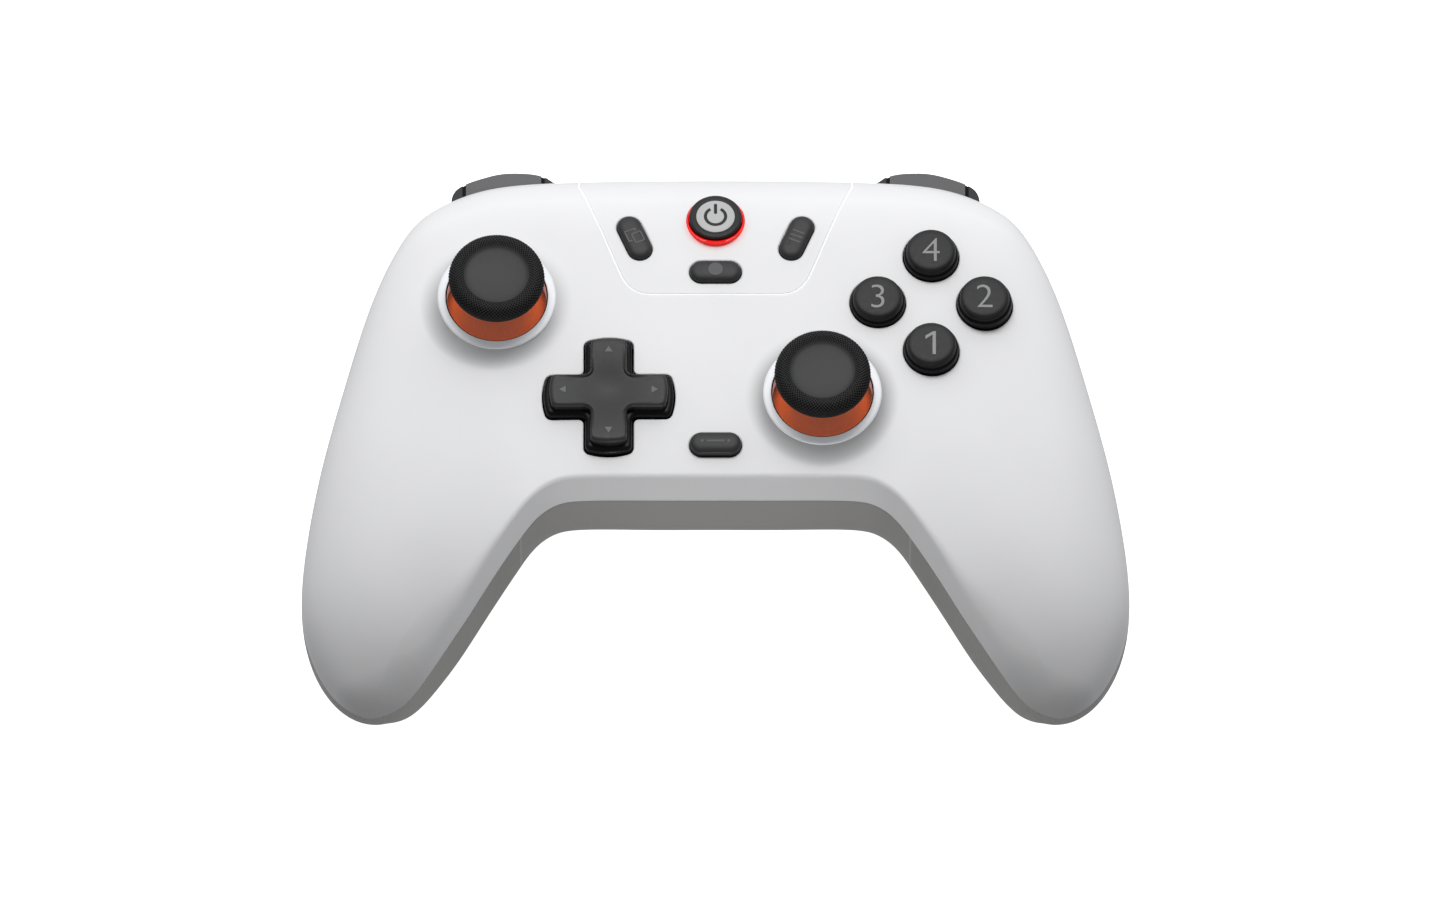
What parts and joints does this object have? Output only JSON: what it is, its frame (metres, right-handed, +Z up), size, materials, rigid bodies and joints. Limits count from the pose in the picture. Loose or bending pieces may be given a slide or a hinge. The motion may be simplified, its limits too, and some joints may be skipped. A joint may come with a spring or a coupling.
{
  "type": "gamepad controller",
  "caption": "Two-grip game controller with offset thumb sticks in white rings, a cross pad, a diamond of round buttons, small centre buttons, bumpers and triggers.",
  "frame": {"origin": "middle of the outline, on the surface it rests on", "axes": "+X to the player's right, +Y away from the player toward the triggers, +Z up out of the face"},
  "size_m": [0.155, 0.107, 0.0575],
  "materials": {
    "white_plastic": "fine satin texture",
    "grey_plastic": "fine matte texture",
    "ring_plastic": "polished",
    "button_plastic": "satin",
    "dark_plastic": "matte",
    "stick_rubber": "matte, knurled edge",
    "orange_plastic": "satin",
    "light_ring": "clear red light guide",
    "steel": "plain",
    "board": "solder mask",
    "chip": "moulded",
    "battery": "foil pouch",
    "membrane": "silicone",
    "nylon": "moulded",
    "weight": "sintered",
    "label": "blank plate"
  },
  "bodies": {
    "housing": {"front_shell": "white_plastic", "centre_panel": "white_plastic", "back_shell": "grey_plastic", "rear_label_plate": "label", "case_screws": "steel", "main_board": "board", "board_chips": "chip", "button_board": "board", "board_screws": "steel", "battery_pack": "battery", "usb_c_socket": "steel", "left_stick_ring": "ring_plastic", "right_stick_ring": "ring_plastic", "left_stick_base": "dark_plastic", "right_stick_base": "dark_plastic", "stick_springs": "steel", "dpad_fork": "dark_plastic", "dpad_membrane": "membrane", "face_button_membrane": "membrane", "tact_switches": "chip", "home_light_ring": "light_ring", "left_trigger_bracket": "dark_plastic", "right_trigger_bracket": "dark_plastic", "trigger_pins": "steel", "trigger_springs": "steel", "bumper_pins": "steel", "bumper_switches": "chip", "left_rumble_motor": "steel", "right_rumble_motor": "steel"},
    "left_stick_arm": {"left_stick_arm": "nylon"},
    "left_stick_arch": {"left_stick_arch": "dark_plastic"},
    "left_stick_trunnion": {"left_stick_trunnion": "nylon"},
    "left_stick": {"left_stick_stem": "orange_plastic", "left_stick_cap": "stick_rubber"},
    "right_stick_arm": {"right_stick_arm": "nylon"},
    "right_stick_arch": {"right_stick_arch": "dark_plastic"},
    "right_stick_trunnion": {"right_stick_trunnion": "nylon"},
    "right_stick": {"right_stick_stem": "orange_plastic", "right_stick_cap": "stick_rubber"},
    "dpad_pivot": {"dpad_pivot": "nylon"},
    "dpad_cross": {"dpad_cross": "button_plastic"},
    "button_south": {"button_south": "button_plastic"},
    "button_east": {"button_east": "button_plastic"},
    "button_west": {"button_west": "button_plastic"},
    "button_north": {"button_north": "button_plastic"},
    "home_button": {"home_button": "button_plastic"},
    "view_button": {"view_button": "button_plastic"},
    "menu_button": {"menu_button": "button_plastic"},
    "capture_button": {"capture_button": "button_plastic"},
    "mode_button": {"mode_button": "button_plastic"},
    "left_bumper": {"left_bumper": "dark_plastic"},
    "left_trigger": {"left_trigger": "dark_plastic"},
    "left_rumble_weight": {"left_rumble_weight": "weight"},
    "right_bumper": {"right_bumper": "dark_plastic"},
    "right_trigger": {"right_trigger": "dark_plastic"},
    "right_rumble_weight": {"right_rumble_weight": "weight"}
  },
  "joints": [
    {"name": "left_stick_tilt_y", "type": "hinge", "parent": "housing", "child": "left_stick_arm", "pos_m": [-0.041, 0.02, 0.0342], "axis": [1, 0, 0], "range_deg": [-12.5, 12.5], "stiffness_Nm_per_rad": 0.03, "deforming": ["stick_springs"]},
    {"name": "left_stick_tilt_x", "type": "hinge", "parent": "left_stick_arm", "child": "left_stick_trunnion", "pos_m": [-0.041, 0.02, 0.0342], "axis": [0, 1, 0], "range_deg": [-12.5, 12.5], "stiffness_Nm_per_rad": 0.03},
    {"name": "left_stick_click", "type": "slide", "parent": "left_stick_trunnion", "child": "left_stick", "axis": [0, 0, -1], "range_m": [0, 0.0006], "stiffness_N_per_m": 3000, "springref_m": -0.0005},
    {"name": "left_stick_arch_tilt", "type": "hinge", "parent": "housing", "child": "left_stick_arch", "pos_m": [-0.041, 0.02, 0.0342], "axis": [0, 1, 0], "range_deg": [-12.5, 12.5]},
    {"name": "right_stick_tilt_y", "type": "hinge", "parent": "housing", "child": "right_stick_arm", "pos_m": [0.02, -0.0005, 0.0342], "axis": [1, 0, 0], "range_deg": [-12.5, 12.5], "stiffness_Nm_per_rad": 0.03, "deforming": ["stick_springs"]},
    {"name": "right_stick_tilt_x", "type": "hinge", "parent": "right_stick_arm", "child": "right_stick_trunnion", "pos_m": [0.02, -0.0005, 0.0342], "axis": [0, 1, 0], "range_deg": [-12.5, 12.5], "stiffness_Nm_per_rad": 0.03},
    {"name": "right_stick_click", "type": "slide", "parent": "right_stick_trunnion", "child": "right_stick", "axis": [0, 0, -1], "range_m": [0, 0.0006], "stiffness_N_per_m": 3000, "springref_m": -0.0005},
    {"name": "right_stick_arch_tilt", "type": "hinge", "parent": "housing", "child": "right_stick_arch", "pos_m": [0.02, -0.0005, 0.0342], "axis": [0, 1, 0], "range_deg": [-12.5, 12.5]},
    {"name": "dpad_roll", "type": "hinge", "parent": "housing", "child": "dpad_pivot", "pos_m": [-0.02, -0.0005, 0.0436], "axis": [0, 1, 0], "range_deg": [-4, 4], "stiffness_Nm_per_rad": 0.1, "deforming": ["dpad_membrane"]},
    {"name": "dpad_pitch", "type": "hinge", "parent": "dpad_pivot", "child": "dpad_cross", "pos_m": [-0.02, -0.0005, 0.0436], "axis": [1, 0, 0], "range_deg": [-4, 4], "stiffness_Nm_per_rad": 0.1},
    {"name": "button_south_press", "type": "slide", "parent": "housing", "child": "button_south", "axis": [0, 0, -1], "range_m": [0, 0.0016], "stiffness_N_per_m": 350, "springref_m": -0.0012, "deforming": ["face_button_membrane"]},
    {"name": "button_east_press", "type": "slide", "parent": "housing", "child": "button_east", "axis": [0, 0, -1], "range_m": [0, 0.0016], "stiffness_N_per_m": 350, "springref_m": -0.0012, "deforming": ["face_button_membrane"]},
    {"name": "button_west_press", "type": "slide", "parent": "housing", "child": "button_west", "axis": [0, 0, -1], "range_m": [0, 0.0016], "stiffness_N_per_m": 350, "springref_m": -0.0012, "deforming": ["face_button_membrane"]},
    {"name": "button_north_press", "type": "slide", "parent": "housing", "child": "button_north", "axis": [0, 0, -1], "range_m": [0, 0.0016], "stiffness_N_per_m": 350, "springref_m": -0.0012, "deforming": ["face_button_membrane"]},
    {"name": "home_press", "type": "slide", "parent": "housing", "child": "home_button", "axis": [0, 0, -1], "range_m": [0, 0.0005], "stiffness_N_per_m": 500, "springref_m": -0.0008, "deforming": ["tact_switches"]},
    {"name": "view_press", "type": "slide", "parent": "housing", "child": "view_button", "axis": [0, 0, -1], "range_m": [0, 0.0005], "stiffness_N_per_m": 500, "springref_m": -0.0008, "deforming": ["tact_switches"]},
    {"name": "menu_press", "type": "slide", "parent": "housing", "child": "menu_button", "axis": [0, 0, -1], "range_m": [0, 0.0005], "stiffness_N_per_m": 500, "springref_m": -0.0008, "deforming": ["tact_switches"]},
    {"name": "capture_press", "type": "slide", "parent": "housing", "child": "capture_button", "axis": [0, 0, -1], "range_m": [0, 0.0005], "stiffness_N_per_m": 500, "springref_m": -0.0008, "deforming": ["tact_switches"]},
    {"name": "mode_press", "type": "slide", "parent": "housing", "child": "mode_button", "axis": [0, 0, -1], "range_m": [0, 0.0005], "stiffness_N_per_m": 500, "springref_m": -0.0008, "deforming": ["tact_switches"]},
    {"name": "left_bumper_press", "type": "hinge", "parent": "housing", "child": "left_bumper", "pos_m": [-0.0284, 0.043, 0.0362], "axis": [0, 0, 1], "range_deg": [0, 2.2], "stiffness_Nm_per_rad": 0.25, "springref_deg": -2.86, "deforming": ["bumper_switches"]},
    {"name": "left_trigger_pull", "type": "hinge", "parent": "housing", "child": "left_trigger", "pos_m": [-0.0385, 0.04, 0.0282], "axis": [-1, 0, 0], "range_deg": [0, 17], "stiffness_Nm_per_rad": 0.15, "springref_deg": -22.92, "deforming": ["trigger_springs"]},
    {"name": "left_rumble_spin", "type": "hinge", "parent": "housing", "child": "left_rumble_weight", "pos_m": [-0.0575, -0.02, 0.0212], "axis": [0, 1, 0], "continuous": true},
    {"name": "right_bumper_press", "type": "hinge", "parent": "housing", "child": "right_bumper", "pos_m": [0.0284, 0.043, 0.0362], "axis": [0, 0, -1], "range_deg": [0, 2.2], "stiffness_Nm_per_rad": 0.25, "springref_deg": -2.86, "deforming": ["bumper_switches"]},
    {"name": "right_trigger_pull", "type": "hinge", "parent": "housing", "child": "right_trigger", "pos_m": [0.0385, 0.04, 0.0282], "axis": [-1, 0, 0], "range_deg": [0, 17], "stiffness_Nm_per_rad": 0.15, "springref_deg": -22.92, "deforming": ["trigger_springs"]},
    {"name": "right_rumble_spin", "type": "hinge", "parent": "housing", "child": "right_rumble_weight", "pos_m": [0.0575, -0.02, 0.0212], "axis": [0, 1, 0], "continuous": true}
  ],
  "couplings": [
    {"joint": "left_stick_arch_tilt", "follows": "left_stick_tilt_x", "ratio": 1},
    {"joint": "right_stick_arch_tilt", "follows": "right_stick_tilt_x", "ratio": 1}
  ]
}
